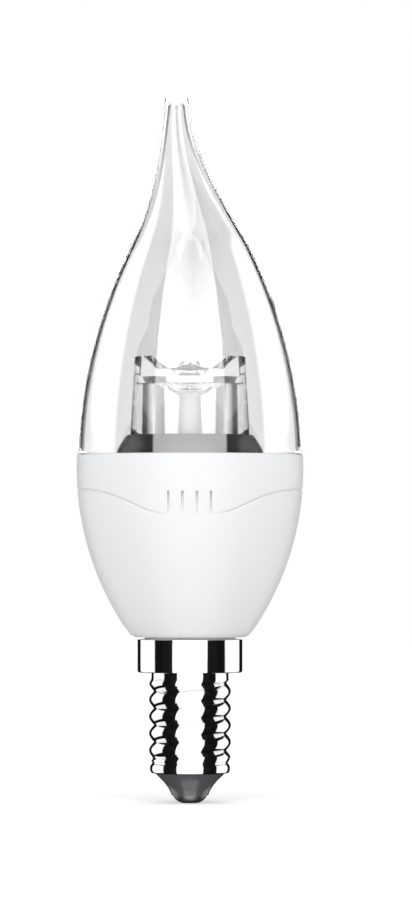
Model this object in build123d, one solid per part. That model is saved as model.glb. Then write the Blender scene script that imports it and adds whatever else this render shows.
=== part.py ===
from build123d import *
import math
import os

# LED candle lamp with a bent flame tip and an E14 screw cap. Millimetres, +Z up.
# The origin is the lowest point of the centre contact, on the lamp's axis.
# The tip leans to -X, and the moulded slits face -Y and +Y.

# Screw cap
contact_radius = 2.9
contact_flat = 0.9
contact_height = 1.3
stem_radius = 1.15
stem_bore = 0.45
stem_length = 6.0
insulator_height = 3.7
insulator_waist = 3.1
insulator_collar = 1.25
insulator_clearance = 0.05
cap_wall = 0.3
rim_radius = 6.75
rim_length = 1.5
rim_lip = 0.75
rim_round = 0.7
thread_radius = 6.9
thread_depth = 0.8
thread_pitch = 2.822
thread_rolls = 5
cap_neck_length = 1.2
skirt_radius = 8.85
skirt_length = 5.9

# Housing
housing_height = 30.5
body_radius = 19.0
belly_drop = 2.2
housing_curve = 48.0
housing_wall = 2.0
housing_edge = 1.2
neck_wall = 1.4
neck_clearance = 0.05
rim_wall = 0.55
ledge_drop = 4.7
groove_width = 0.35
groove_depth = 0.25
groove_rise = 4.3
groove_top_drop = 5.8
groove_inner_end = 4.0
slit_count = 4
slit_pitch = 7.15
slit_width = 0.4
slit_height = 3.8
slit_depth = 0.7
slit_top_drop = 6.3

# Clear cover
cover_height = 61.5
cover_wall = 0.7
ogive_curve = 82.0
ogive_height = 36.8
tip_radius = 2.0
tip_lean = 2.26
tip_lean_start = 33.8
tip_lean_end = 56.8
tip_blunt_length = 3.7
tip_taper = 0.4
tip_solid = 2.7
spigot_wall = 0.7
spigot_clearance = 0.05
spigot_collar = 0.4
cover_sections = 15

# Heat sink and LED board
sink_plate = 1.5
sink_clearance = 0.1
sink_skirt_clearance = 0.3
sink_skirt_wall = 1.2
sink_skirt_depth = 7.5
led_board_clearance = 1.5
led_board_thickness = 1.0
led_count = 6
led_width = 2.8
led_length = 3.5
led_height = 0.7
led_pocket_gap = 0.3
phosphor_radius = 1.2
phosphor_depth = 0.3
screw_edge = 1.7
screw_radius = 1.0
screw_head_radius = 1.5
screw_head_height = 0.9
screw_clearance = 0.1
screw_end_gap = 0.1

# Light guide and its ring
guide_height = 18.6
guide_taper = 0.9
guide_bore = 6.1
guide_flange_width = 1.3
guide_flange_wall = 0.7
guide_flange_height = 2.2
led_pocket_depth = 1.0
guide_stem_top = 1.75
guide_stem_foot = 2.4
guide_roof_drop = 6.9
guide_roof_rise = 2.5
crown_half_width = 4.5
dish_lip = 1.5
dish_slope = 2.1
dish_floor = 2.6
dish_floor_radius = 5.7
dish_ridge_radius = 3.5
dish_ridge_half = 0.6
dish_ridge_height = 1.2
knob_sides = 8
knob_drop = 3.5
knob_foot = 1.7
knob_girdle = 2.35
knob_table = 1.4
knob_girdle_height = 1.4
knob_height = 2.7
ring_height = 5.5
ring_wall = 1.0
ring_lip = 0.3
ring_clearance = 0.1
ring_screw_gap = 0.4

# Driver board and its parts
driver_thickness = 1.2
driver_half_width = 8.4
driver_height = 16.3
tongue_half_width = 6.8
tongue_length = 5.7
bulk_radius = 4.0
bulk_length = 11.0
bulk_place = (3.0, 1.6)
output_radius = 3.15
output_length = 9.0
output_place = (4.6, 3.0)
film_size = (6.6, 4.4, 7.0)
film_place = (-4.8, 2.2)
choke_radius = 4.0
choke_height = 8.0
choke_flange = 1.2
choke_core_radius = 2.2
choke_winding_radius = 3.6
choke_place = (-3.2, 8.2)
chip_size = (4.9, 1.5, 3.9)
chip_place = (-4.5, 11.4)
bridge_size = (4.7, 2.4, 3.8)
bridge_place = (0.0, -4.6)
small_part_size = (2.0, 0.5, 1.25)
small_part_pitch = 2.0
small_part_count = 4
small_part_place = (-6.2, -4.4)
part_gap = 0.05

# Leads
lead_radius = 0.5
lead_hole_clearance = 0.15
lead_edge = 0.9
lead_angle = 50.0
lead_drop = 5.5
lead_tail = 3.2
lead_tail_place = 7.0
mains_lead_radius = 0.4
neutral_length = 9.0
neutral_clearance = 0.05
fuse_radius = 1.5
fuse_length = 7.0
fuse_rise = 6.0
fuse_clearance = 0.03

# Heights along the axis
rim_z = contact_height + insulator_height
thread_z = rim_z + rim_length
shoulder_z = thread_z + thread_pitch * thread_rolls + cap_neck_length
housing_z = shoulder_z + skirt_length
floor_z = housing_z + housing_wall
joint_z = housing_z + housing_height
belly_z = joint_z - belly_drop
ledge_z = joint_z - ledge_drop
sink_z = ledge_z + sink_plate
board_z = sink_z + led_board_thickness
guide_z = board_z + guide_height
tip_z = joint_z + cover_height
tongue_z = floor_z - tongue_length
driver_z = floor_z + driver_height

# Radii that follow from the sizes above
thread_middle = thread_radius - thread_depth / 2
neck_radius = skirt_radius - cap_wall - neck_clearance
neck_bore = neck_radius - neck_wall
rim_bore = body_radius - rim_wall
spigot_radius = rim_bore - spigot_clearance
spigot_bore = spigot_radius - spigot_wall
led_board_radius = spigot_bore - led_board_clearance
screw_circle = led_board_radius - screw_edge
ring_radius = screw_circle - screw_head_radius - ring_screw_gap
guide_flange_radius = ring_radius - ring_wall - ring_clearance
guide_foot_radius = guide_flange_radius - guide_flange_width
guide_top_radius = guide_foot_radius - guide_taper
led_pocket_outer = guide_flange_radius - guide_flange_wall
led_circle = led_pocket_outer - led_pocket_gap - led_width / 2
led_pocket_inner = led_circle - led_width / 2 - led_pocket_gap
driver_face = driver_thickness / 2


def spot(point):
    """Place a (radius, height) pair in the XZ plane."""
    return (point[0], 0, point[1])


def lathe(start, *steps):
    """Turn a closed outline about Z. A step is a corner, or an arc's middle and end."""
    edges = []
    here = start
    for step in (*steps, start):
        if isinstance(step[0], tuple):
            middle, step = step
            edges.append(ThreePointArc(spot(here), spot(middle), spot(step)))
        elif step != here:
            edges.append(Line(spot(here), spot(step)))
        here = step
    return revolve(make_face(edges), Axis.Z)


def post(radius, low, high, x=0.0, y=0.0):
    """Upright cylinder between two heights."""
    return Pos(x, y, low) * Cylinder(radius, high - low, align=(Align.CENTER, Align.CENTER, Align.MIN))


def around(radius, degrees):
    """Point on a circle about the axis."""
    angle = math.radians(degrees)
    return (radius * math.cos(angle), radius * math.sin(angle))


def dome_middle(width, height):
    """Middle of an arc that leaves the origin level and ends at a width and a height."""
    radius = (width**2 + height**2) / (2 * height)
    half_turn = math.asin(width / radius) / 2
    return (radius * math.sin(half_turn), radius * (1 - math.cos(half_turn)))


def wall_radius(height, inset=0.0):
    """Radius of the housing's curved side at a height, moved in by an inset."""
    curve = housing_curve - inset
    return body_radius - housing_curve + math.sqrt(curve**2 - (belly_z - height) ** 2)


sink_skirt_radius = wall_radius(ledge_z - sink_skirt_depth, housing_wall) - sink_skirt_clearance
lead_circle = sink_skirt_radius - sink_skirt_wall - lead_edge


# Screw cap


def thread_arcs(inset):
    """Crest and root arcs of the rolled thread, from the bottom up, moved in by an inset."""
    middle = thread_middle - inset
    arcs = []
    for half in range(2 * thread_rolls):
        low = thread_z + half * thread_pitch / 2
        swing = thread_depth / 2 if half % 2 == 0 else -thread_depth / 2
        arcs.append(((middle + swing, low + thread_pitch / 4), (middle, low + thread_pitch / 2)))
    return arcs


def screw_shell():
    """Drawn sheet cap: in-turned rim, rolled thread, flat shoulder and plain skirt."""
    inner = thread_middle - cap_wall
    inside = []
    ends = [(inner, thread_z)] + [arc[1] for arc in thread_arcs(cap_wall)]
    for arc, end in zip(reversed(thread_arcs(cap_wall)), reversed(ends[:-1])):
        inside.append((arc[0], end))
    bend = rim_round * (1 - math.sqrt(0.5))
    return lathe(
        (rim_radius - rim_lip, rim_z),
        (rim_radius - rim_round, rim_z),
        ((rim_radius - bend, rim_z + bend), (rim_radius, rim_z + rim_round)),
        (rim_radius, thread_z - cap_wall),
        (thread_middle, thread_z),
        *thread_arcs(0.0),
        (thread_middle, shoulder_z),
        (skirt_radius, shoulder_z),
        (skirt_radius, housing_z),
        (skirt_radius - cap_wall, housing_z),
        (skirt_radius - cap_wall, shoulder_z + cap_wall),
        (inner, shoulder_z + cap_wall),
        ends[-1],
        *inside,
        (rim_radius - cap_wall, thread_z - cap_wall),
        (rim_radius - cap_wall, rim_z + cap_wall),
        (rim_radius - rim_lip, rim_z + cap_wall),
    )


def cap_insulator():
    """Glass bell under the shell, with a collar that the shell's rim is turned in beneath."""
    neck = rim_radius - rim_lip - insulator_clearance
    collar = min(rim_radius, thread_middle) - cap_wall - insulator_clearance
    collar_z = rim_z + cap_wall + insulator_clearance
    bore = stem_radius + insulator_clearance
    waist = (insulator_waist + 0.33 * (neck - insulator_waist), contact_height + 0.47 * insulator_height)
    return lathe(
        (bore, contact_height),
        (insulator_waist, contact_height),
        (waist, (neck, rim_z)),
        (neck, collar_z),
        (collar, collar_z),
        (collar, collar_z + insulator_collar),
        (bore, collar_z + insulator_collar),
    )


def centre_contact():
    """Round-edged button with a hollow stem that takes the live lead."""
    out, up = dome_middle(contact_radius - contact_flat, contact_height)
    return lathe(
        (0.0, 0.0),
        (contact_flat, 0.0),
        ((contact_flat + out, up), (contact_radius, contact_height)),
        (stem_radius, contact_height),
        (stem_radius, contact_height + stem_length),
        (stem_bore, contact_height + stem_length),
        (stem_bore, rim_z),
        (0.0, rim_z),
    )


# Housing


def wave_strip():
    """Thin curtain that cuts the wave line: low at the middle, level at the side."""
    high = joint_z - groove_top_drop
    low = high - groove_rise
    reach = body_radius + groove_width

    def line(shift):
        return Bezier(
            spot((groove_inner_end, low + shift)),
            spot((0.48 * reach, low + 0.1 * groove_rise + shift)),
            spot((0.6 * reach, high + shift)),
            spot((reach, high + shift)),
        )

    upper = line(groove_width / 2)
    lower = line(-groove_width / 2)
    outline = [upper, lower, Line(upper @ 0, lower @ 0), Line(upper @ 1, lower @ 1)]
    return extrude(make_face(outline), amount=reach, dir=(0, 1, 0), both=True)


def wave_grooves():
    """Shallow wave lines, left and right, in the housing's skin."""
    high = joint_z - groove_top_drop + groove_width
    low = high - groove_rise - 2 * groove_width
    middle = (high + low) / 2
    skin = lathe(
        (wall_radius(low, groove_depth), low),
        (wall_radius(low) + groove_depth, low),
        ((wall_radius(middle) + groove_depth, middle), (wall_radius(high) + groove_depth, high)),
        (wall_radius(high, groove_depth), high),
        ((wall_radius(middle, groove_depth), middle), (wall_radius(low, groove_depth), low)),
    )
    right = skin & wave_strip()
    return [right, mirror(right, Plane.YZ)]


def slits():
    """Upright slits in the dip of the wave, deepest at the top, on the front and the back."""
    high = joint_z - slit_top_drop
    low = high - slit_height
    outside = body_radius + slit_depth
    wedge = extrude(
        make_face(
            Polyline(
                spot((outside, low)),
                spot((wall_radius(low), low)),
                spot((wall_radius(high) - slit_depth, high)),
                spot((outside, high)),
                close=True,
            )
        ),
        amount=slit_width / 2,
        dir=(0, 1, 0),
        both=True,
    )
    first = -slit_pitch * (slit_count - 1) / 2
    return [Rot(0, 0, side + first + slit_pitch * n) * wedge for side in (-90, 90) for n in range(slit_count)]


def housing():
    """White moulded shell with a neck for the cap, a ledge for the heat sink and a bored rim."""
    middle = (housing_z + joint_z) / 2
    inner_middle = (floor_z + ledge_z) / 2
    foot = wall_radius(housing_z)
    edge_z = housing_z + housing_edge
    edge = (wall_radius(edge_z) - 0.22 * housing_edge, housing_z + 0.3 * housing_edge)
    body = lathe(
        (neck_bore, shoulder_z + cap_wall),
        (neck_radius, shoulder_z + cap_wall),
        (neck_radius, housing_z),
        (foot - 0.7 * housing_edge, housing_z),
        (edge, (wall_radius(edge_z), edge_z)),
        ((wall_radius(middle), middle), (wall_radius(joint_z), joint_z)),
        (rim_bore, joint_z),
        (rim_bore, ledge_z),
        (wall_radius(ledge_z, housing_wall), ledge_z),
        ((wall_radius(inner_middle, housing_wall), inner_middle), (wall_radius(floor_z, housing_wall), floor_z)),
        (neck_bore, floor_z),
    )
    return body - wave_grooves() - slits()


# Clear cover


def cover_radius(height):
    """Outer radius of the cover: an ogive, then a hollow curve that leaves it smoothly for the tip."""
    ogive_z = joint_z + ogive_height
    rise = min(height, ogive_z) - belly_z
    root = math.sqrt(ogive_curve**2 - rise**2)
    radius = body_radius - ogive_curve + root
    if height > ogive_z:
        slope = rise / root
        length = tip_z - ogive_z
        hollow = (tip_radius - radius + slope * length) / length**2
        radius += (height - ogive_z) * (hollow * (height - ogive_z) - slope)
    blunt = max(0.0, 1 - (tip_z - height) / tip_blunt_length)
    return radius * (1 - tip_taper * blunt**2.2)


def cover_lean(height):
    """Sideways shift of the cover's centre line, smooth from none to the full lean."""
    share = (height - joint_z - tip_lean_start) / (tip_lean_end - tip_lean_start)
    share = min(1.0, max(0.0, share))
    return -tip_lean * share**2 * (3 - 2 * share)


def cover_core(high, inset):
    """Solid of round sections from the joint to a height, moved in square to the wall by an inset."""
    sections = []
    step = 0.01
    for n in range(cover_sections + 1):
        height = high - (high - joint_z) * (1 - n / cover_sections) ** 1.7
        slope = (cover_radius(height) - cover_radius(height - step)) / step if inset else 0.0
        radius = cover_radius(height) - inset * math.sqrt(1 + slope**2)
        sections.append(Pos(cover_lean(height), 0, height) * Circle(radius))
    return loft(sections)


def clear_cover():
    """Moulded flame-shaped cover with a spigot that plugs into the housing's rim."""
    cavity = cover_core(tip_z - tip_solid, cover_wall)
    collar_z = joint_z + spigot_collar
    spigot = lathe(
        (spigot_bore, sink_z),
        (spigot_radius, sink_z),
        (spigot_radius, joint_z),
        (cover_radius(joint_z) - cover_wall / 2, joint_z),
        (cover_radius(collar_z) - cover_wall / 2, collar_z),
        (spigot_bore, collar_z),
    )
    return cover_core(tip_z, 0.0) - cavity + spigot


# Heat sink and LED board


def screw_spots():
    """Centres of the two board screws."""
    return [around(screw_circle, degrees) for degrees in (0, 180)]


def lead_spots():
    """Centres of the two lead holes, behind the light guide."""
    return [around(lead_circle, degrees) for degrees in (lead_angle, 180 - lead_angle)]


def drill(body, low, high, screw_hole):
    """Cut the screw and lead holes through a plate."""
    for x, y in screw_spots():
        body -= post(screw_hole, low, high, x, y)
    for x, y in lead_spots():
        body -= post(lead_radius + lead_hole_clearance, low, high, x, y)
    return body


def heat_sink():
    """Pressed aluminium cup, upside down, whose plate lies on the housing's ledge."""
    cup = lathe(
        (0.0, ledge_z),
        (sink_skirt_radius - sink_skirt_wall, ledge_z),
        (sink_skirt_radius - sink_skirt_wall, ledge_z - sink_skirt_depth),
        (sink_skirt_radius, ledge_z - sink_skirt_depth),
        (sink_skirt_radius, ledge_z),
        (rim_bore - sink_clearance, ledge_z),
        (rim_bore - sink_clearance, sink_z),
        (0.0, sink_z),
    )
    return drill(cup, ledge_z, sink_z, screw_radius + screw_clearance / 2)


def led_board():
    """Round aluminium-core board."""
    return drill(post(led_board_radius, sink_z, board_z), sink_z, board_z, screw_radius + screw_clearance)


def led_places():
    """Location of each LED, its long side along the circle."""
    turn = 360 / led_count
    return [Rot(0, 0, turn * (n + 0.5)) * Pos(led_circle, 0, board_z) for n in range(led_count)]


def led_packages():
    """Surface-mount LED bodies with a round well."""
    seat = (Align.CENTER, Align.CENTER, Align.MIN)
    body = Box(led_width, led_length, led_height, align=seat)
    body -= post(phosphor_radius, led_height - phosphor_depth, led_height)
    return Compound([place * body for place in led_places()])


def led_phosphors():
    """Phosphor fill in each LED's well."""
    fill = post(phosphor_radius, led_height - phosphor_depth, led_height)
    return Compound([place * fill for place in led_places()])


def board_screws():
    """Two pan-head screws through the board into the heat sink."""
    end_z = ledge_z + screw_end_gap
    head_z = board_z + screw_head_height
    screws = []
    for x, y in screw_spots():
        screw = post(screw_radius, end_z, board_z, x, y)
        screw += post(screw_head_radius, board_z, head_z, x, y)
        rim = screw.faces().sort_by(Axis.Z)[-1].edges()
        screws.append(fillet(rim, screw_head_height / 3))
    return Compound(screws)


# Light guide and its ring


def knob():
    """Faceted knob, cut like a gem, in the middle of the dish."""
    foot_z = guide_z - knob_drop
    girdle_z = foot_z + knob_girdle_height
    foot = Pos(0, 0, foot_z) * RegularPolygon(knob_foot, knob_sides)
    girdle = Pos(0, 0, girdle_z) * RegularPolygon(knob_girdle, knob_sides)
    table = Pos(0, 0, foot_z + knob_height) * RegularPolygon(knob_table, knob_sides)
    return loft([foot, girdle], ruled=True) + loft([girdle, table], ruled=True)


def light_guide():
    """Clear thick sleeve with a middle stem, a dished bar across its crown and a faceted knob."""
    flange_z = board_z + guide_flange_height
    pocket_z = board_z + led_pocket_depth
    roof_z = guide_z - guide_roof_drop
    foot_z = guide_z - knob_drop
    ridge_z = foot_z + dish_ridge_height + dish_ridge_half
    body = lathe(
        (0.0, board_z),
        (guide_stem_foot, board_z),
        (guide_stem_top, roof_z),
        (guide_bore, roof_z + guide_roof_rise),
        (guide_bore, board_z),
        (led_pocket_inner, board_z),
        (led_pocket_inner, pocket_z),
        (led_pocket_outer, pocket_z),
        (led_pocket_outer, board_z),
        (guide_flange_radius, board_z),
        (guide_flange_radius, flange_z),
        (guide_foot_radius, flange_z),
        (guide_top_radius, guide_z),
        (guide_top_radius - dish_lip, guide_z),
        (dish_floor_radius, guide_z - dish_slope),
        (dish_ridge_radius + dish_ridge_half, guide_z - dish_floor),
        (dish_ridge_radius, ridge_z),
        (dish_ridge_radius - dish_ridge_half, foot_z + dish_ridge_half),
        (dish_ridge_radius - 2 * dish_ridge_half, foot_z),
        (0.0, foot_z),
    )
    for side in (-1, 1):
        seat = (Align.CENTER, Align.MIN if side > 0 else Align.MAX, Align.MIN)
        cut = Box(2 * guide_foot_radius, guide_foot_radius, knob_drop, align=seat)
        body -= Pos(0, side * crown_half_width, foot_z) * cut
    return body + knob()


def guide_ring():
    """Flared dark ring that traps the light guide's flange on the board."""
    flange_z = board_z + guide_flange_height + ring_clearance
    bore = guide_foot_radius + ring_clearance
    pocket = guide_flange_radius + ring_clearance
    top_z = board_z + ring_height
    lip = bore + ring_lip
    rise, inward = dome_middle(ring_height, ring_radius - lip)
    return lathe(
        (pocket, board_z),
        (ring_radius, board_z),
        ((ring_radius - inward, board_z + rise), (lip, top_z)),
        (bore, top_z),
        (bore, flange_z),
        (pocket, flange_z),
    )


# Driver board and its parts


def driver_board():
    """Upright circuit board: a tongue in the housing's neck, and shoulders on its floor."""
    outline = Polyline(
        spot((-tongue_half_width, tongue_z)),
        spot((tongue_half_width, tongue_z)),
        spot((tongue_half_width, floor_z)),
        spot((driver_half_width, floor_z)),
        spot((driver_half_width, driver_z)),
        spot((-driver_half_width, driver_z)),
        spot((-driver_half_width, floor_z)),
        spot((-tongue_half_width, floor_z)),
        close=True,
    )
    return extrude(make_face(outline), amount=driver_face, dir=(0, 1, 0), both=True)


def on_board(place, side, depth):
    """Location at a place on the board, with a part's half depth off the front (-1) or back (1)."""
    return Pos(place[0], side * (driver_face + part_gap + depth), floor_z + place[1])


def can(place, side, radius, length):
    """Electrolytic capacitor lying upright against the board."""
    body = post(radius, 0, length)
    top = body.faces().sort_by(Axis.Z)[-1].edges()
    return on_board(place, side, radius) * fillet(top, radius / 8)


def bulk_capacitor():
    """Large smoothing capacitor on the front."""
    return can(bulk_place, -1, bulk_radius, bulk_length)


def output_capacitor():
    """Smaller output capacitor on the back."""
    return can(output_place, 1, output_radius, output_length)


def block(size, place, side):
    """Box-shaped part lying on the board."""
    seat = (Align.CENTER, Align.CENTER, Align.MIN)
    return on_board(place, side, size[1] / 2) * Box(*size, align=seat)


def film_capacitor():
    """Boxed film capacitor on the front."""
    body = block(film_size, film_place, -1)
    return fillet(body.edges().filter_by(Axis.Y), film_size[1] / 8)


def control_chip():
    """Driver chip on the front."""
    return block(chip_size, chip_place, -1)


def bridge_rectifier():
    """Rectifier block on the back of the tongue."""
    return block(bridge_size, bridge_place, 1)


def chip_parts():
    """Row of small chip parts on the front of the tongue."""
    row = []
    for n in range(small_part_count):
        x = small_part_place[0] + small_part_size[0] / 2 + n * (small_part_size[0] + small_part_pitch / 2)
        row.append(block(small_part_size, (x, small_part_place[1]), -1))
    return Compound(row)


def choke_piece(shape):
    """Stand a piece of the choke on the back of the board."""
    return on_board(choke_place, 1, 0) * Rot(-90, 0, 0) * shape


def choke_core():
    """Ferrite drum, standing on the board on one flange."""
    spool = post(choke_core_radius, 0, choke_height)
    spool += post(choke_radius, 0, choke_flange)
    spool += post(choke_radius, choke_height - choke_flange, choke_height)
    return choke_piece(spool)


def choke_winding():
    """Copper winding between the drum's flanges."""
    low = choke_flange
    high = choke_height - choke_flange
    return choke_piece(post(choke_winding_radius, low, high) - post(choke_core_radius, low, high))


# Leads


def live_lead():
    """Straight lead from the contact's stem to the foot of the driver board."""
    return post(mains_lead_radius, rim_z, tongue_z)


def fuse_resistor():
    """Fusible resistor round the live lead."""
    low = contact_height + stem_length + fuse_rise
    body = post(fuse_radius, low, low + fuse_length)
    ends = body.edges().filter_by(GeomType.CIRCLE)
    bore = post(mains_lead_radius + fuse_clearance, low, low + fuse_length)
    return fillet(ends, fuse_radius / 3) - bore


def neutral_lead():
    """Bare lead from the driver board, tucked down against the thread's roots."""
    root = thread_radius - thread_depth - cap_wall
    x = root - neutral_clearance - mains_lead_radius
    return post(mains_lead_radius, tongue_z - neutral_length, tongue_z, x)


def led_lead(side):
    """Lead from the LED board's top, through both holes, down to the driver board's back."""
    x, y = lead_spots()[0]
    tail_y = driver_face + part_gap + lead_radius
    points = [
        Vector(side * x, y, board_z),
        Vector(side * x, y, board_z - lead_drop),
        Vector(side * lead_tail_place, tail_y, driver_z),
        Vector(side * lead_tail_place, tail_y, driver_z - lead_tail),
    ]
    runs = [b - a for a, b in zip(points, points[1:])]
    radii = []
    for a, b in zip(runs, runs[1:]):
        half_turn = math.radians(a.get_angle(b) / 2)
        radii.append(0.45 * min(a.length, b.length) / math.tan(half_turn))
    path = FilletPolyline(*points, radius=radii)
    return sweep(Pos(points[0]) * Circle(lead_radius), path)


def led_lead_positive():
    """Lead on the +X side."""
    return led_lead(1)


def led_lead_negative():
    """Lead on the -X side."""
    return led_lead(-1)


pieces = [
    clear_cover,
    light_guide,
    guide_ring,
    led_board,
    led_packages,
    led_phosphors,
    board_screws,
    heat_sink,
    housing,
    driver_board,
    bulk_capacitor,
    output_capacitor,
    film_capacitor,
    choke_core,
    choke_winding,
    control_chip,
    bridge_rectifier,
    chip_parts,
    fuse_resistor,
    live_lead,
    neutral_lead,
    led_lead_positive,
    led_lead_negative,
    screw_shell,
    cap_insulator,
    centre_contact,
]

os.makedirs("parts", exist_ok=True)
for piece in pieces:
    export_step(piece(), f"parts/{piece.__name__}.step")
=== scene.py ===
"""Looks of an LED candle lamp with a bent flame tip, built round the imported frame."""

import logging
import math
from dataclasses import dataclass
from enum import Enum
from typing import Any, Callable, NamedTuple, Sequence

import bpy
import numpy as np
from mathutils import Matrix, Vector


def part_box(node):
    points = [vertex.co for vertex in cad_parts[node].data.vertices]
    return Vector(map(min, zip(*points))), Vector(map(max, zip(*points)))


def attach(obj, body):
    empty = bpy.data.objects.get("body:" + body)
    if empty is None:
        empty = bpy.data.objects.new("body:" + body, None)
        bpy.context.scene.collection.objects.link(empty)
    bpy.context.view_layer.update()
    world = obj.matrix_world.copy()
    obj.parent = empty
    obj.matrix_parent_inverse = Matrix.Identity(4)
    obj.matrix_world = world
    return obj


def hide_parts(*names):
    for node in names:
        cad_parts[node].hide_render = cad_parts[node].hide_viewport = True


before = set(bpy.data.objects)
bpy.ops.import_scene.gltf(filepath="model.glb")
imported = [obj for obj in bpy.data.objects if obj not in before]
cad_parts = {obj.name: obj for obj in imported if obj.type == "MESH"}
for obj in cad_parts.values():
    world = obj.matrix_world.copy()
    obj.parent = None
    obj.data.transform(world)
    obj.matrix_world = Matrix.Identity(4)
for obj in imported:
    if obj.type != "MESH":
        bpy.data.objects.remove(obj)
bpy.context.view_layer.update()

log = logging.getLogger("candle_lamp")

MM = 0.001
BODY = "root"
ROUNDING_SHARE = 0.49
TINY = 1e-6


class Corner(NamedTuple):
    """A corner of an outline, in millimetres: radius, height and the rounding of the corner."""

    r: float
    z: float
    fillet: float = 0.0


@dataclass(frozen=True)
class Extent:
    """Height range and outer radius of a CAD node, in millimetres."""

    low: float
    high: float
    radius: float

    @classmethod
    def of(cls, node: str) -> "Extent":
        """Read a node's extent from the frame.

        Args:
            node: The CAD node's name.

        Returns:
            Its height range, and half its width across Y.
        """
        low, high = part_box(node)
        return cls(low.z / MM, high.z / MM, (high.y - low.y) / 2 / MM)


# Node and mesh helpers


def linear(colour: str) -> tuple[float, float, float, float]:
    """Turn an sRGB hex colour to linear light.

    Args:
        colour: Six hex digits.

    Returns:
        Red, green, blue and an alpha of 1.
    """
    parts = [int(colour[n : n + 2], 16) / 255 for n in (0, 2, 4)]
    red, green, blue = [c / 12.92 if c <= 0.04045 else ((c + 0.055) / 1.055) ** 2.4 for c in parts]
    return (red, green, blue, 1.0)


def add_node(tree: Any, kind: str, sockets: dict | None = None, **settings: Any) -> Any:
    """Add a node to a tree, with its settings, values and links.

    Args:
        tree: The node tree.
        kind: The node's type name.
        sockets: Input name or number to a value, or to the output that is linked to it.
        settings: The node's own properties.

    Returns:
        The new node.
    """
    node = tree.nodes.new(kind)
    for name, value in settings.items():
        setattr(node, name, value)
    for key, value in (sockets or {}).items():
        if isinstance(value, bpy.types.NodeSocket):
            tree.links.new(value, node.inputs[key])
        else:
            node.inputs[key].default_value = value
    return node


def rounded(corners: Sequence[Corner], steps: int = 5) -> list[tuple[float, float]]:
    """Round the corners of an outline.

    Args:
        corners: The outline's corners in order. The first and last stay sharp.
        steps: Segments in each rounding.

    Returns:
        Points of the rounded outline, as radius and height.
    """
    points = [(corners[0].r, corners[0].z)]
    for before, here, after in zip(corners, corners[1:], corners[2:]):
        if here.fillet <= 0:
            points.append((here.r, here.z))
            continue
        spot = Vector((here.r, here.z))
        back = Vector((before.r, before.z)) - spot
        ahead = Vector((after.r, after.z)) - spot
        half = back.angle(ahead) / 2
        most = ROUNDING_SHARE * min(back.length, ahead.length)
        reach = min(here.fillet / math.tan(half), most)
        first = spot + back.normalized() * reach
        last = spot + ahead.normalized() * reach
        for n in range(steps + 1):
            share = n / steps
            bend = first.lerp(spot, share).lerp(spot.lerp(last, share), share)
            points.append((bend.x, bend.y))
    points.append((corners[-1].r, corners[-1].z))
    return points


def even_angles(columns: int) -> np.ndarray:
    """Evenly spaced angles round the axis."""
    return np.linspace(0, 2 * math.pi, columns, endpoint=False)


def turned(
    name: str,
    outline: Sequence[tuple[float, float]],
    angles: np.ndarray,
    lean: Callable[[float], float] | None = None,
    skin: Callable[[float, float, np.ndarray], np.ndarray] | None = None,
    sharp: float = 35.0,
) -> bpy.types.Object:
    """Turn an outline about the axis into a closed mesh.

    Args:
        name: The new object's name.
        outline: Closed outline in millimetres, anticlockwise as seen with the axis on the left.
        angles: Angle of each column, in radians.
        lean: Sideways shift of the centre, in millimetres, for a height.
        skin: Change of radius along a ring, for its radius, height and the angles.
        sharp: Edges that turn by more degrees than this stay sharp.

    Returns:
        The new object, linked to the scene.
    """
    verts: list[tuple[float, float, float]] = []
    rings: list[list[int]] = []
    for r, z in outline:
        shift = lean(z) if lean else 0.0
        start = len(verts)
        if r < TINY:
            verts.append((shift * MM, 0.0, z * MM))
            rings.append([start] * len(angles))
            continue
        radii = r + (skin(r, z, angles) if skin else np.zeros(len(angles)))
        for radius, angle in zip(radii, angles):
            verts.append(((radius * math.cos(angle) + shift) * MM, radius * math.sin(angle) * MM, z * MM))
        rings.append(list(range(start, len(verts))))
    faces: list[tuple[int, ...]] = []
    for a, b in zip(rings, rings[1:] + rings[:1]):
        if a[0] == a[-1] and b[0] == b[-1]:
            continue
        for j in range(len(angles)):
            k = (j + 1) % len(angles)
            corners = (a[j], a[k], b[k], b[j])
            faces.append(tuple(dict.fromkeys(corners)))
    mesh = bpy.data.meshes.new(name)
    mesh.from_pydata(verts, [], faces)
    return placed(name, mesh, sharp)


def placed(name: str, mesh: bpy.types.Mesh, sharp: float) -> bpy.types.Object:
    """Link a mesh to the scene as a smooth-shaded object.

    Args:
        name: The new object's name.
        mesh: Its mesh.
        sharp: Edges that turn by more degrees than this stay sharp.

    Returns:
        The new object.
    """
    mesh.shade_smooth()
    mesh.set_sharp_from_angle(angle=math.radians(sharp))
    piece = bpy.data.objects.new(name, mesh)
    bpy.context.scene.collection.objects.link(piece)
    return piece


def settled(piece: bpy.types.Object) -> bpy.types.Object:
    """Turn a piece's modifiers into plain mesh.

    Args:
        piece: An object with modifiers.

    Returns:
        The same object, with the result as its mesh and no modifier.
    """
    graph = bpy.context.evaluated_depsgraph_get()
    mesh = bpy.data.meshes.new_from_object(piece.evaluated_get(graph), depsgraph=graph)
    piece.modifiers.clear()
    piece.data = mesh
    return piece


def grown(piece: bpy.types.Object, tree: bpy.types.NodeTree, sizes: dict[str, Any]) -> bpy.types.Object:
    """Run a node tree on a piece and keep the result as plain mesh.

    Args:
        piece: The object whose mesh goes into the tree.
        tree: A geometry node tree.
        sizes: Value of each named input.

    Returns:
        The same object with the grown mesh.
    """
    modifier = piece.modifiers.new(tree.name, "NODES")
    modifier.node_group = tree
    for item in tree.interface.items_tree:
        if item.in_out == "INPUT" and item.name in sizes:
            modifier[item.identifier] = sizes[item.name]
    return settled(piece)


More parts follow.
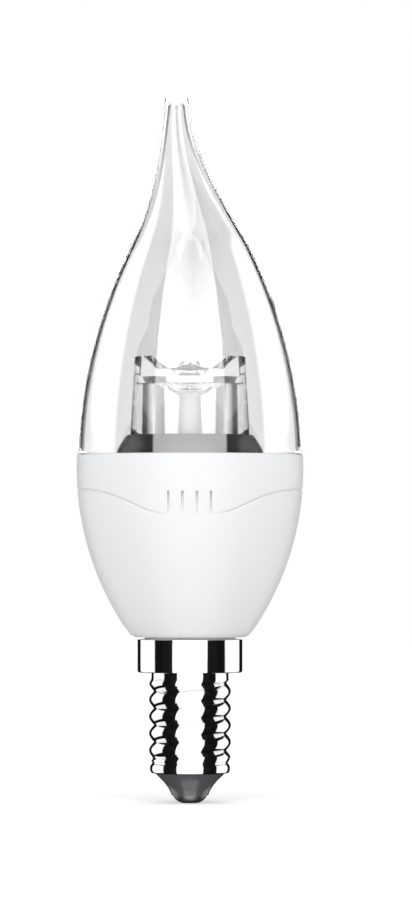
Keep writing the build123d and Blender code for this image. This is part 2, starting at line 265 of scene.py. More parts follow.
def new_tree(name: str, inputs: dict[str, str]) -> tuple[Any, Any]:
    """Start a geometry node tree.

    Args:
        name: The tree's name.
        inputs: Name and socket type of each input after the geometry.

    Returns:
        The tree and its group input node.
    """
    tree = bpy.data.node_groups.new(name, "GeometryNodeTree")
    tree.interface.new_socket("Geometry", in_out="INPUT", socket_type="NodeSocketGeometry")
    for label, kind in inputs.items():
        tree.interface.new_socket(label, in_out="INPUT", socket_type=kind)
    tree.interface.new_socket("Geometry", in_out="OUTPUT", socket_type="NodeSocketGeometry")
    return tree, add_node(tree, "NodeGroupInput")


def close_tree(tree: Any, geometry: Any, material: Any) -> None:
    """End a geometry node tree in Realize Instances and Set Material.

    Args:
        tree: The tree.
        geometry: Output socket of the finished geometry.
        material: Output socket of the material input.
    """
    real = add_node(tree, "GeometryNodeRealizeInstances", {0: geometry})
    dressed = add_node(tree, "GeometryNodeSetMaterial", {"Geometry": real.outputs[0], "Material": material})
    add_node(tree, "NodeGroupOutput", {0: dressed.outputs[0]})


def handed_in(piece: bpy.types.Object, finish: "Finish", slot: str, *nodes: str) -> None:
    """Dress a piece and put it on the frame in place of its CAD nodes.

    Args:
        piece: The shaped object.
        finish: Its finish.
        slot: The record's material slot. Not used.
        nodes: The CAD nodes that it stands for.
    """
    finish.dress(piece)
    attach(piece, BODY)
    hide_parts(*nodes)
    log.info("%s: %d faces", piece.name, len(piece.data.polygons))


# Finishes


class Grain(Enum):
    """How a surface was made, which sets the lie of its fine marks."""

    MOULDED = (1.0, 1.0, 1.0)
    DRAWN = (1.0, 1.0, 0.06)
    TURNED = (0.05, 0.05, 1.0)


@dataclass(frozen=True)
class Finish:
    """A material: what it is, how it was made and what that gives the eye."""

    name: str
    colour: str
    grain: Grain = Grain.MOULDED
    grain_mm: float = 0.4
    rough: tuple[float, float] = (0.3, 0.4)
    bump_mm: float = 0.0
    spread: float = 0.0
    metallic: float = 0.0
    ior: float = 1.5
    transmission: float = 0.0
    coat: float = 0.0
    coat_ior: float = 1.5

    def material(self) -> bpy.types.Material:
        """Build the material once, and give it again when asked again.

        Returns:
            The node material.
        """
        if self.name in bpy.data.materials:
            return bpy.data.materials[self.name]
        material = bpy.data.materials.new(self.name)
        material.use_nodes = True
        tree = material.node_tree
        tree.nodes.clear()
        shader = add_node(
            tree,
            "ShaderNodeBsdfPrincipled",
            {
                "Base Color": linear(self.colour),
                "Metallic": self.metallic,
                "IOR": self.ior,
                "Transmission Weight": self.transmission,
                "Coat Weight": self.coat,
                "Coat Roughness": 0.0,
                "Coat IOR": self.coat_ior,
            },
        )
        marks = self.marks(tree)
        tree.links.new(self.roughness(tree, marks), shader.inputs["Roughness"])
        if self.spread:
            dark = [channel * (1 - self.spread) for channel in linear(self.colour)[:3]]
            shade = add_node(
                tree,
                "ShaderNodeMix",
                {"Factor": marks, "A": (*dark, 1.0), "B": linear(self.colour)},
                data_type="RGBA",
            )
            tree.links.new(shade.outputs["Result"], shader.inputs["Base Color"])
        if self.bump_mm:
            bump = add_node(
                tree, "ShaderNodeBump", {"Height": marks, "Distance": self.bump_mm * MM, "Strength": 1.0}
            )
            tree.links.new(bump.outputs["Normal"], shader.inputs["Normal"])
        add_node(tree, "ShaderNodeOutputMaterial", {"Surface": shader.outputs["BSDF"]})
        return material

    def roughness(self, tree: Any, marks: Any) -> Any:
        """Add the change of roughness across the marks.

        Args:
            tree: The material's node tree.
            marks: Output socket of the marks.

        Returns:
            The output socket of the roughness.
        """
        sockets = {"Value": marks, "To Min": self.rough[0], "To Max": self.rough[1]}
        return add_node(tree, "ShaderNodeMapRange", sockets).outputs["Result"]

    def marks(self, tree: Any) -> Any:
        """Add the fine marks of the making.

        Args:
            tree: The material's node tree.

        Returns:
            The output socket of the marks, from 0 to 1.
        """
        place = add_node(tree, "ShaderNodeTexCoord")
        lie = add_node(
            tree, "ShaderNodeMapping", {"Vector": place.outputs["Object"], "Scale": self.grain.value}
        )
        # Real grit, draw lines and tool marks are finer than a pixel, which is 0.17 mm.
        # A grain_mm under 0.5 is therefore drawn coarser than it is, so that it shows.
        noise = add_node(
            tree,
            "ShaderNodeTexNoise",
            {"Vector": lie.outputs["Vector"], "Scale": 1 / (self.grain_mm * MM), "Detail": 3.0},
        )
        return noise.outputs["Fac"]

    def dress(self, piece: bpy.types.Object) -> None:
        """Give a piece this finish and no other."""
        piece.data.materials.clear()
        piece.data.materials.append(self.material())


@dataclass(frozen=True)
class PartFrosted(Finish):
    """A clear moulding whose middle was spark-eroded in the tool and left frosted."""

    frost_radius_mm: float = 2.7
    frost_top_mm: float = 68.0
    frost: float = 0.6

    def roughness(self, tree: Any, marks: Any) -> Any:
        """Add the frosted middle to the polished rest.

        Args:
            tree: The material's node tree.
            marks: Output socket of the marks.

        Returns:
            The output socket of the roughness.
        """
        polished = super().roughness(tree, marks)
        place = add_node(tree, "ShaderNodeTexCoord")
        split = add_node(tree, "ShaderNodeSeparateXYZ", {0: place.outputs["Object"]})
        flat = add_node(tree, "ShaderNodeCombineXYZ", {"X": split.outputs["X"], "Y": split.outputs["Y"]})
        off = add_node(tree, "ShaderNodeVectorMath", {0: flat.outputs[0]}, operation="LENGTH")
        values = {"off": off.outputs["Value"], "height": split.outputs["Z"], "polished": polished}
        for name, operation, a, b in (
            ("near", "LESS_THAN", "off", self.frost_radius_mm * MM),
            ("low", "LESS_THAN", "height", self.frost_top_mm * MM),
            ("both", "MULTIPLY", "near", "low"),
            ("frost", "MULTIPLY", "both", self.frost),
            ("most", "MAXIMUM", "frost", "polished"),
        ):
            sockets = {0: values.get(a, a), 1: values.get(b, b)}
            values[name] = add_node(tree, "ShaderNodeMath", sockets, operation=operation).outputs[0]
        return values["most"]


# Polished moulding under a hard coat: strong clear reflections, no colour, hardly any haze
COVER_CLEAR = Finish(
    "polycarbonate_hard_coated", "FFFFFF", grain_mm=9.0, rough=(0.0, 0.012), ior=1.58, transmission=1.0,
    coat=1.0, coat_ior=1.7,
)
# Polished moulding with a frosted stem: clear as water, bright edges, a milky middle
GUIDE_CLEAR = PartFrosted(
    "acrylic_moulded", "FFFFFF", grain_mm=6.0, rough=(0.0, 0.02), ior=1.49, transmission=1.0
)
# Spark-eroded tool: satin, grey, with a soft gleam
RING_GREY = Finish(
    "abs_satin_grey", "58585A", grain_mm=0.25, rough=(0.2, 0.3), bump_mm=0.004, spread=0.08, coat=0.3
)
# Fine-lapped tool: bright white with a broad soft sheen
HOUSING_WHITE = Finish("pbt_satin_white", "F6F7F8", grain_mm=1.2, rough=(0.38, 0.46), spread=0.01)
# Drawn and rolled sheet under bright nickel: a mirror with faint upright streaks
CAP_NICKEL = Finish(
    "steel_bright_nickel", "E9E9EA", grain=Grain.DRAWN, grain_mm=0.3, rough=(0.03, 0.09), bump_mm=0.002,
    metallic=1.0,
)
# Pressed glass, fired dark: grey with a dull shine
CAP_GLASS = Finish(
    "cap_glass_dark", "606064", grain_mm=0.8, rough=(0.14, 0.24), bump_mm=0.006, spread=0.12, ior=1.6
)
# Stamped brass, dip-tinned: grey metal with faint rings
CONTACT_METAL = Finish(
    "brass_dull_tin", "8A8A8C", grain=Grain.TURNED, grain_mm=0.3, rough=(0.3, 0.45), spread=0.2, metallic=0.85
)
# Printed and cured mask: even white, half shiny
BOARD_WHITE = Finish(
    "solder_mask_white", "EFEFEA", grain_mm=0.5, rough=(0.3, 0.4), bump_mm=0.004, spread=0.03
)
# Filled moulding: warm white with little shine
LED_WHITE = Finish("led_moulding_white", "F0EEE6", grain_mm=0.2, rough=(0.35, 0.5), spread=0.03)
# Poured silicone full of powder: yellow and grainy
LED_YELLOW = Finish("phosphor_resin", "DCC98A", grain_mm=0.15, rough=(0.25, 0.5), bump_mm=0.01, spread=0.15)
# Cold-headed and plated: bluish grey metal, ringed by the tool
SCREW_ZINC = Finish(
    "steel_zinc_plated", "B4B6BA", grain=Grain.TURNED, rough=(0.2, 0.4), spread=0.1, metallic=1.0
)
# Pressed sheet: pale metal with upright draw marks
SINK_METAL = Finish(
    "aluminium_pressed", "C8CACC", grain=Grain.DRAWN, rough=(0.3, 0.5), spread=0.08, metallic=1.0
)
# Pressed glass cloth under green mask: deep green, half shiny
LAMINATE = Finish("glass_epoxy_green", "1F6B3A", grain_mm=0.5, rough=(0.3, 0.45), spread=0.12)
# Shrunk film: near black with a soft shine
SLEEVE = Finish("shrink_sleeve_black", "1C1D26", grain_mm=0.6, rough=(0.25, 0.4), spread=0.1)
# Dipped resin: red brown and glossy, with an uneven skin
FILM_RED = Finish("epoxy_dipped_red", "8E2A20", grain_mm=0.7, rough=(0.2, 0.35), bump_mm=0.01, spread=0.1)
# Sintered and ground: charcoal, dull and speckled
FERRITE = Finish("ferrite_ground", "343437", grain_mm=0.3, rough=(0.45, 0.6), bump_mm=0.01, spread=0.2)
# Drawn wire under enamel: warm copper, lined by its turns
COPPER = Finish(
    "copper_enamelled", "B5652C", grain=Grain.TURNED, grain_mm=0.25, rough=(0.2, 0.35), spread=0.25,
    metallic=0.9,
)
# Transfer-moulded resin: black and matt
EPOXY = Finish("epoxy_moulded_black", "1A1A1C", grain_mm=0.2, rough=(0.5, 0.65), spread=0.15)
# Fired body: tan and matt
CERAMIC = Finish("ceramic_fired", "8A7A62", grain_mm=0.2, rough=(0.4, 0.55), spread=0.15)
# Dipped coat: blue green, half shiny
LACQUER = Finish("resistor_lacquer", "6F9A8C", grain_mm=0.3, rough=(0.25, 0.4), spread=0.1)
# Drawn wire, hot-tinned: pale grey metal with fine lines
TINNED = Finish("copper_tinned", "C9C7C2", grain=Grain.DRAWN, rough=(0.25, 0.4), spread=0.1, metallic=1.0)
# Extruded sleeve: red and matt
LEAD_RED = Finish("silicone_red", "A01C18", grain_mm=0.3, rough=(0.45, 0.6), spread=0.08)
# Extruded sleeve: black and matt
LEAD_BLACK = Finish("silicone_black", "1B1B1B", grain_mm=0.3, rough=(0.45, 0.6), spread=0.08)


# Pieces


@dataclass
class FlameCover:
    """Clear moulded cover: an ogive drawn out to a blunt tip that leans over."""

    ogive_curve: float = 82.0
    ogive_height: float = 36.8
    belly_drop: float = 2.2
    belly_radius: float = 19.0
    wall: float = 0.7
    tip_radius: float = 2.0
    tip_taper: float = 0.4
    tip_blunt: float = 3.7
    tip_edge: float = 0.45
    tip_power: float = 2.2
    tip_solid: float = 2.7
    lean_reach: float = 2.26
    lean_start: float = 33.8
    lean_end: float = 56.8
    spigot_radius: float = 18.4
    spigot_wall: float = 0.7
    spigot_collar: float = 0.4
    spigot_edge: float = 0.2
    rings: int = 110
    ring_spacing: float = 1.7
    columns: int = 192

    def __post_init__(self) -> None:
        """Read the heights from the frame."""
        extent = Extent.of("clear_cover")
        self.foot_z = extent.low
        self.tip_z = extent.high
        self.joint_z = Extent.of("housing").high

    def radius(self, z: float) -> float:
        """Give the outer radius at a height.

        Args:
            z: Height in millimetres.

        Returns:
            Radius in millimetres.
        """
        ogive_z = self.joint_z + self.ogive_height
        rise = min(z, ogive_z) - (self.joint_z - self.belly_drop)
        root = math.sqrt(self.ogive_curve**2 - rise**2)
        radius = self.belly_radius - self.ogive_curve + root
        if z > ogive_z:
            slope = rise / root
            length = self.tip_z - ogive_z
            hollow = (self.tip_radius - radius + slope * length) / length**2
            radius += (z - ogive_z) * (hollow * (z - ogive_z) - slope)
        blunt = max(0.0, 1 - (self.tip_z - z) / self.tip_blunt)
        return radius * (1 - self.tip_taper * blunt**self.tip_power)

    def lean(self, z: float) -> float:
        """Give the sideways shift of the centre line at a height.

        Args:
            z: Height in millimetres.

        Returns:
            Shift along X in millimetres.
        """
        share = (z - self.joint_z - self.lean_start) / (self.lean_end - self.lean_start)
        share = min(1.0, max(0.0, share))
        return -self.lean_reach * share**2 * (3 - 2 * share)

    def side(self, high: float, inset: float) -> list[Corner]:
        """Give one face of the wall as corners from the joint up.

        Args:
            high: Height of the last corner.
            inset: Distance in from the outer face, square to it.

        Returns:
            Corners that need no rounding.
        """
        step = 0.01
        corners = []
        for share in np.linspace(1, 0, self.rings):
            z = high - (high - self.joint_z) * share**self.ring_spacing
            slope = (self.radius(z) - self.radius(z - step)) / step
            corners.append(Corner(self.radius(z) - inset * math.sqrt(1 + slope**2), z))
        return corners

    def build(self) -> None:
        """Make the cover and dress it."""
        outer = self.side(self.tip_z, 0.0)
        inner_top = self.tip_z - self.tip_solid
        collar_z = self.joint_z + self.spigot_collar
        inner = [corner for corner in self.side(inner_top, self.wall) if corner.z > collar_z]
        bore = self.spigot_radius - self.spigot_wall
        corners = [
            *outer[:-1],
            outer[-1]._replace(fillet=self.tip_edge),
            Corner(0.0, self.tip_z),
            Corner(0.0, inner_top),
            inner[-1]._replace(fillet=self.tip_edge),
            *reversed(inner[:-1]),
            Corner(inner[0].r, collar_z),
            Corner(bore, collar_z),
            Corner(bore, self.foot_z, self.spigot_edge),
            Corner(self.spigot_radius, self.foot_z, self.spigot_edge),
            Corner(self.spigot_radius, self.joint_z),
        ]
        cover = turned("flame_cover", rounded(corners), even_angles(self.columns), lean=self.lean)
        handed_in(cover, COVER_CLEAR, "clear_cover_plastic", "clear_cover")


@dataclass
class LightGuide:
    """Clear guide with a faceted knob in its dished crown, and the dark ring round its foot."""

    top_radius: float = 9.3
    foot_radius: float = 10.2
    bore: float = 6.1
    flange_height: float = 2.2
    pocket_inner: float = 7.4
    pocket_outer: float = 10.8
    pocket_depth: float = 1.0
    stem_top: float = 1.75
    stem_foot: float = 2.4
    roof_drop: float = 6.9
    roof_rise: float = 2.5
    lip: float = 1.5
    slope: float = 2.1
    floor: float = 2.6
    floor_radius: float = 5.7
    ridge_radius: float = 3.5
    ridge_half: float = 0.6
    ridge_height: float = 1.2
    crown_half_width: float = 4.5
    knob_drop: float = 3.5
    knob_sides: int = 8
    knob_rings: tuple[tuple[float, float], ...] = ((1.7, 0.0), (2.35, 1.4), (1.4, 2.7))
    ring_bore_gap: float = 0.1
    ring_lip: float = 0.3
    crisp: float = 0.1
    foot_edge: float = 0.15
    crown_edge: float = 0.2
    ridge_edge: float = 0.25
    root_edge: float = 0.3
    knob_sunk: float = 0.1
    facet_angle: float = 10.0
    sharp_angle: float = 25.0
    flare_steps: int = 24
    columns: int = 160

    def __post_init__(self) -> None:
        """Read the heights and radii from the frame."""
        extent = Extent.of("light_guide")
        ring = Extent.of("guide_ring")
        self.low = extent.low
        self.high = extent.high
        self.flange_radius = extent.radius
        self.ring_radius = ring.radius
        self.ring_high = ring.high

    def body(self) -> bpy.types.Object:
        """Turn the sleeve, stem and dish.

        Returns:
            The guide without its knob.
        """
        flange_z = self.low + self.flange_height
        pocket_z = self.low + self.pocket_depth
        roof_z = self.high - self.roof_drop
        foot_z = self.high - self.knob_drop
        half = self.ridge_half
        corners = [
            Corner(0.0, self.low),
            Corner(self.stem_foot, self.low, self.foot_edge),
            Corner(self.stem_top, roof_z, self.root_edge),
            Corner(self.bore, roof_z + self.roof_rise, self.root_edge),
            Corner(self.bore, self.low, self.crisp),
            Corner(self.pocket_inner, self.low, self.crisp),
            Corner(self.pocket_inner, pocket_z, self.foot_edge),
            Corner(self.pocket_outer, pocket_z, self.foot_edge),
            Corner(self.pocket_outer, self.low, self.crisp),
            Corner(self.flange_radius, self.low, self.foot_edge),
            Corner(self.flange_radius, flange_z, self.foot_edge),
            Corner(self.foot_radius, flange_z, self.root_edge),
            Corner(self.top_radius, self.high, self.crown_edge),
            Corner(self.top_radius - self.lip, self.high, self.crown_edge),
            Corner(self.floor_radius, self.high - self.slope, self.crown_edge),
            Corner(self.ridge_radius + half, self.high - self.floor, self.crown_edge),
            Corner(self.ridge_radius, foot_z + self.ridge_height + half, self.ridge_edge),
            Corner(self.ridge_radius - half, foot_z + half, self.crown_edge),
            Corner(self.ridge_radius - 2 * half, foot_z, self.crown_edge),
            Corner(0.0, foot_z),
        ]
        return turned("light_guide_clear", rounded(corners), even_angles(self.columns))

    def knob(self) -> bpy.types.Object:
        """Cut the knob like a gem.

        Returns:
            A closed faceted mesh, sunk a little into the dish.
        """
        foot_z = self.high - self.knob_drop
        low = foot_z - self.knob_sunk
        outline = [(0.0, low), (self.knob_rings[0][0], low)]
        outline += [(r, foot_z + rise) for r, rise in self.knob_rings[1:]]
        outline.append((0.0, foot_z + self.knob_rings[-1][1]))
        return turned("knob", outline, even_angles(self.knob_sides), sharp=self.facet_angle)

    def flanks(self) -> bpy.types.Object:
        """Make the two blocks that are cut away in front of and behind the crown.

        Returns:
            A mesh of two closed boxes.
        """
        low = self.high - self.knob_drop
        high = self.high + self.knob_drop
        wide = self.flange_radius
        verts: list[tuple[float, float, float]] = []
        faces: list[tuple[int, ...]] = []
        for near, far in ((self.crown_half_width, wide), (-wide, -self.crown_half_width)):
            start = len(verts)
            for z in (low, high):
                corners = ((-wide, near), (wide, near), (wide, far), (-wide, far))
                verts += [(x * MM, y * MM, z * MM) for x, y in corners]
            sides = ((3, 2, 1, 0), (4, 5, 6, 7), (0, 1, 5, 4), (1, 2, 6, 5), (2, 3, 7, 6), (3, 0, 4, 7))
            faces += [tuple(start + corner for corner in side) for side in sides]
        mesh = bpy.data.meshes.new("flanks")
        mesh.from_pydata(verts, [], faces)
        return placed("flanks", mesh, self.facet_angle)

    def build(self) -> None:
        """Make the guide and the ring, and dress them."""
        guide = self.body()
        for tool, operation in ((self.flanks(), "DIFFERENCE"), (self.knob(), "UNION")):
            joined = guide.modifiers.new(tool.name, "BOOLEAN")
            joined.operation = operation
            joined.solver = "EXACT"
            joined.object = tool
            settled(guide)
            bpy.data.objects.remove(tool)
        guide.data.shade_smooth()
        guide.data.set_sharp_from_angle(angle=math.radians(self.sharp_angle))
        handed_in(guide, GUIDE_CLEAR, "guide_acrylic", "light_guide")
        self.build_ring()

    def build_ring(self) -> None:
        """Make the flared ring that traps the guide's flange."""
        bore = self.foot_radius + self.ring_bore_gap
        pocket = self.flange_radius + self.ring_bore_gap
        flange_z = self.low + self.flange_height + self.ring_bore_gap
        lip = bore + self.ring_lip
        height = self.ring_high - self.low
        inward = self.ring_radius - lip
        curve = (height**2 + inward**2) / (2 * inward)
        flare = [
            Corner(self.ring_radius - curve + math.sqrt(curve**2 - rise**2), self.low + rise)
            for rise in np.linspace(0, height, self.flare_steps)
        ]
        corners = [
            Corner(pocket, self.low),
            flare[0]._replace(fillet=self.foot_edge),
            *flare[1:-1],
            flare[-1]._replace(fillet=self.crisp),
            Corner(bore, self.ring_high, self.crisp),
            Corner(bore, flange_z, self.crisp),
            Corner(pocket, flange_z),
        ]
        ring = turned("guide_ring_grey", rounded(corners), even_angles(self.columns))
        handed_in(ring, RING_GREY, "ring_plastic", "guide_ring")


@dataclass
class Housing:
    """White moulded housing with a wave line and four slits on the front and the back."""

    SIDES = (90, 270)

    curve: float = 48.0
    belly_radius: float = 19.0
    belly_drop: float = 2.2
    wall: float = 2.0
    edge: float = 2.0
    neck_radius: float = 8.5
    neck_wall: float = 1.4
    rim_wall: float = 0.55
    cap_gap: float = 0.35
    cap_gap_radius: float = 7.6
    ledge_drop: float = 4.7
    wave_width: float = 0.34
    wave_depth: float = 0.3
    wave_rise: float = 4.3
    wave_top_drop: float = 5.8
    wave_inner_end: float = 4.0
    wave_fade: float = 1.6
    wave_pulls: tuple[float, float] = (0.48, 0.6)
    wave_lift: float = 0.1
    wave_steps: int = 60
    slit_count: int = 4
    slit_pitch: float = 7.15
    slit_width: float = 0.32
    slit_height: float = 3.8
    slit_top_drop: float = 6.3
    slit_depth: float = 0.9
    slit_shallow: float = 0.35
    slit_soft: float = 0.25
    foot_inset: float = 0.1
    rim_edge: float = 0.12
    side_rows: int = 16
    band_rows: int = 100
    rim_rows: int = 8
    inner_rows: int = 12
    slit_zone: float = 13.5
    fine_step: float = 0.18
    coarse_step: float = 1.5

    def __post_init__(self) -> None:
        """Read the heights from the frame."""
        extent = Extent.of("housing")
        self.neck_z = extent.low
        self.joint_z = extent.high
        self.foot_z = Extent.of("screw_shell").high
        self.belly_z = self.joint_z - self.belly_drop
        high = self.joint_z - self.wave_top_drop
        share = np.linspace(0, 1, self.wave_steps)
        reach = self.belly_radius + self.wave_width
        near, far = [pull * reach for pull in self.wave_pulls]
        self.wave_x = self.bezier(share, self.wave_inner_end, near, far, reach)
        low = high - self.wave_rise
        self.wave_z = self.bezier(share, low, low + self.wave_lift * self.wave_rise, high, high)

    @staticmethod
    def bezier(share: np.ndarray, a: float, b: float, c: float, d: float) -> np.ndarray:
        """Give a cubic curve's values from its four control values."""
        rest = 1 - share
        return a * rest**3 + 3 * b * share * rest**2 + 3 * c * share**2 * rest + d * share**3

    def radius(self, z: float, inset: float = 0.0) -> float:
        """Radius of the curved side at a height, moved in by an inset."""
        curve = self.curve - inset
        return self.belly_radius - self.curve + math.sqrt(curve**2 - (self.belly_z - z) ** 2)

    def angles(self) -> np.ndarray:
        """Space the columns finely across the slits and coarsely elsewhere.

        Returns:
            Angles in radians, from the +X side round.
        """
        degrees: list[float] = []
        for side in self.SIDES:
            fine = np.arange(side - self.slit_zone, side + self.slit_zone, self.fine_step)
            coarse = np.arange(side + self.slit_zone, side + 180 - self.slit_zone, self.coarse_step)
            degrees += [*fine, *coarse]
        return np.radians(degrees)

    def skin(self, r: float, z: float, angles: np.ndarray) -> np.ndarray:
        """Sink the wave line and the slits into the side.

        Args:
            r: Radius of the ring.
            z: Height of the ring.
            angles: Angle of each column.

        Returns:
            Change of radius at each column.
        """
        if abs(r - self.radius(z)) > TINY:
            return np.zeros(len(angles))
        across = np.abs(r * np.cos(angles))
        line = np.interp(across, self.wave_x, self.wave_z)
        slope = np.interp(across, self.wave_x, np.gradient(self.wave_z, self.wave_x))
        off = np.abs(z - line) / np.sqrt(1 + slope**2) / (self.wave_width / 2)
        fade = np.clip((across - self.wave_inner_end) / self.wave_fade, 0, 1)
        sunk = self.wave_depth * fade * np.clip(1 - off**2, 0, 1)
        top = self.joint_z - self.slit_top_drop
        share = (z - top + self.slit_height) / self.slit_height
        if 0 <= share <= 1:
            for side in self.SIDES:
                for n in range(self.slit_count):
                    middle = side + (n - (self.slit_count - 1) / 2) * self.slit_pitch
                    aside = r * np.abs(np.angle(np.exp(1j * (angles - math.radians(middle)))))
                    soft = self.slit_soft
                    wide = np.clip(1 + soft - aside / (self.slit_width / 2), 0, soft) / soft
                    deep = self.slit_shallow + (1 - self.slit_shallow) * share
                    sunk = np.maximum(sunk, self.slit_depth * deep * wide)
        return -sunk

    def build(self) -> None:
        """Make the housing and dress it."""
        top = self.joint_z - self.wave_top_drop + self.wave_width
        low = self.joint_z - self.slit_top_drop - self.slit_height - self.wave_width
        edge_z = self.foot_z + self.edge
        heights = [
            *np.linspace(edge_z, low, self.side_rows, endpoint=False),
            *np.linspace(low, top, self.band_rows, endpoint=False),
            *np.linspace(top, self.joint_z, self.rim_rows),
        ]
        side = [Corner(self.radius(z), z) for z in heights]
        rim_bore = self.belly_radius - self.rim_wall
        ledge_z = self.joint_z - self.ledge_drop
        floor_z = self.foot_z + self.wall
        inner_heights = np.linspace(ledge_z, floor_z, self.inner_rows)
        inside = [Corner(self.radius(z, self.wall), z) for z in inner_heights]
        neck_bore = self.neck_radius - self.neck_wall
        corners = [
            Corner(neck_bore, self.neck_z),
            Corner(self.neck_radius, self.neck_z),
            Corner(self.neck_radius, self.foot_z - self.cap_gap),
            Corner(self.cap_gap_radius, self.foot_z - self.cap_gap),
            Corner(self.cap_gap_radius, self.foot_z),
            Corner(self.radius(self.foot_z) - self.foot_inset, self.foot_z, self.edge),
            *side[:-1],
            side[-1]._replace(fillet=self.rim_edge),
            Corner(rim_bore, self.joint_z, self.rim_edge),
            Corner(rim_bore, ledge_z),
            *inside,
            Corner(neck_bore, floor_z),
        ]
        housing = turned("housing_white", rounded(corners), self.angles(), skin=self.skin)
        handed_in(housing, HOUSING_WHITE, "housing_plastic", "housing")


